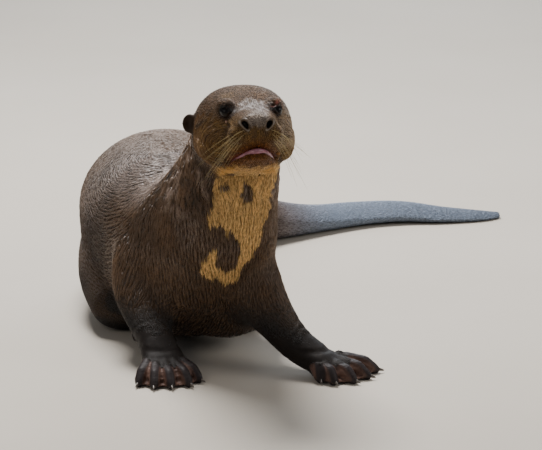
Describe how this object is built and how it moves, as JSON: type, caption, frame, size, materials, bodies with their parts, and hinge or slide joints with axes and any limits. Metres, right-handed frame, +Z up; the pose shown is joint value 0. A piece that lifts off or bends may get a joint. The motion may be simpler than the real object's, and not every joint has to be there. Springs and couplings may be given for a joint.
{
  "type": "giant otter",
  "caption": "Giant otter lying propped on its forelegs with its head raised, a still life-size museum model with a laid-out flat tail.",
  "frame": {"origin": "on the floor, under the middle of the bounding box", "axes": "+Z up, -Y the way the animal faces, +X towards the side on which the tail lies, the animal's left"},
  "size_m": [0.6456, 0.9054, 0.4159],
  "materials": {
    "coat": "short dense dark brown fur, sleek and slightly wet",
    "throat_coat": "short cream and tan fur",
    "paw_skin": "dark grey-brown skin of the paws and webs",
    "mouth_flesh": "moist pink lip and tongue",
    "eye": "dark wet eye",
    "claw_horn": "dull horn of the claws"
  },
  "bodies": {
    "root": {"head": "coat", "lower_jaw": "throat_coat", "lip_and_tongue": "mouth_flesh", "neck": "coat", "chest": "coat", "loin": "coat", "rump": "coat", "tail_root": "coat", "tail_middle": "coat", "tail_tip": "coat", "ear_right": "coat", "eye_right": "eye", "upper_arm_right": "coat", "forearm_right": "coat", "forepaw_right": "paw_skin", "thigh_right": "coat", "hindfoot_right": "paw_skin", "ear_left": "coat", "eye_left": "eye", "upper_arm_left": "coat", "forearm_left": "coat", "forepaw_left": "paw_skin", "thigh_left": "coat", "hindfoot_left": "paw_skin", "claw_fore_right_thumb": "claw_horn", "claw_fore_right_second": "claw_horn", "claw_fore_right_third": "claw_horn", "claw_fore_right_fourth": "claw_horn", "claw_fore_right_fifth": "claw_horn", "claw_fore_left_thumb": "claw_horn", "claw_fore_left_second": "claw_horn", "claw_fore_left_third": "claw_horn", "claw_fore_left_fourth": "claw_horn", "claw_fore_left_fifth": "claw_horn", "claw_hind_right_thumb": "claw_horn", "claw_hind_right_second": "claw_horn", "claw_hind_right_third": "claw_horn", "claw_hind_right_fourth": "claw_horn", "claw_hind_right_fifth": "claw_horn", "claw_hind_left_thumb": "claw_horn", "claw_hind_left_second": "claw_horn", "claw_hind_left_third": "claw_horn", "claw_hind_left_fourth": "claw_horn", "claw_hind_left_fifth": "claw_horn"}
  },
  "joints": []
}
